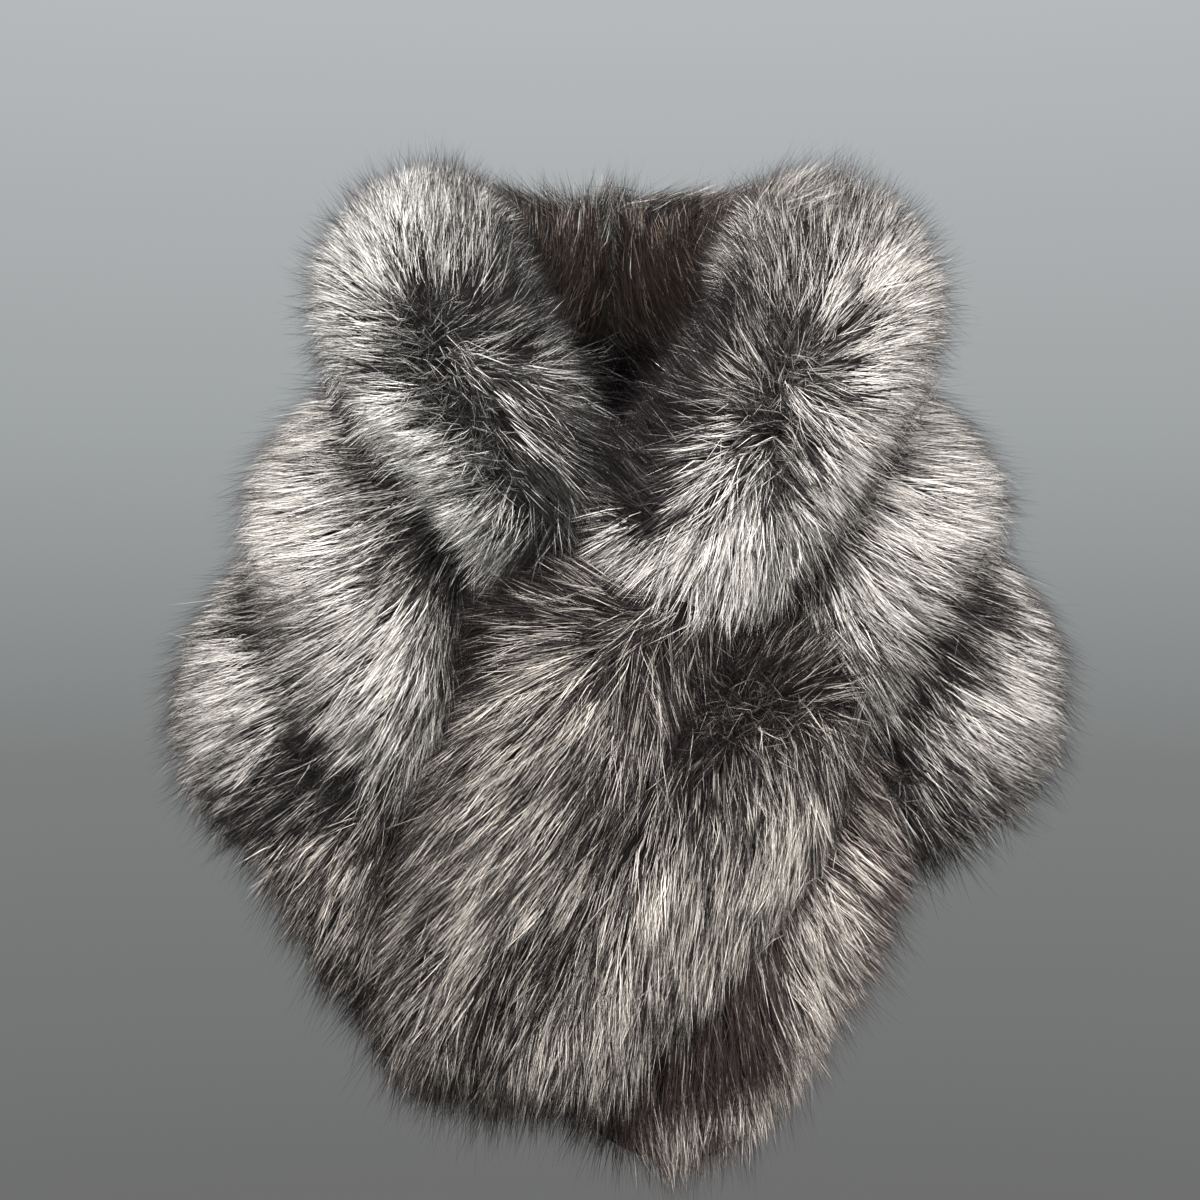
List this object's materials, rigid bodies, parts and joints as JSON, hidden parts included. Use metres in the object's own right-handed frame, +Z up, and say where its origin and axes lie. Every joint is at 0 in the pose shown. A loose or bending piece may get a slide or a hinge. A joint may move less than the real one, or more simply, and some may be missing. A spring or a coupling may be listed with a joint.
{
  "type": "wrap cape",
  "caption": "Hollow worn fur wrap cape with a rolled shawl collar, tiered rows round the shoulders and crossed fronts that dip lower than the sides.",
  "frame": {"origin": "base of the wearer's neck, on the neck's axis, where the shoulders hold the cape", "axes": "+Z up along the wearer, -Y ahead of the wearer, +X to the wearer's left"},
  "size_m": [0.7, 0.3962, 0.773],
  "materials": {
    "silver_fur": "long silver fox pile with dark roots and black tips over tanned leather"
  },
  "bodies": {
    "root": {"collar_right": "silver_fur", "collar_left": "silver_fur", "upper_tier_right": "silver_fur", "upper_tier_left": "silver_fur", "lower_tier_right": "silver_fur", "lower_tier_left": "silver_fur", "front_right_hem": "silver_fur", "front_left_band": "silver_fur", "front_left_centre": "silver_fur", "front_left_side": "silver_fur"}
  },
  "joints": []
}
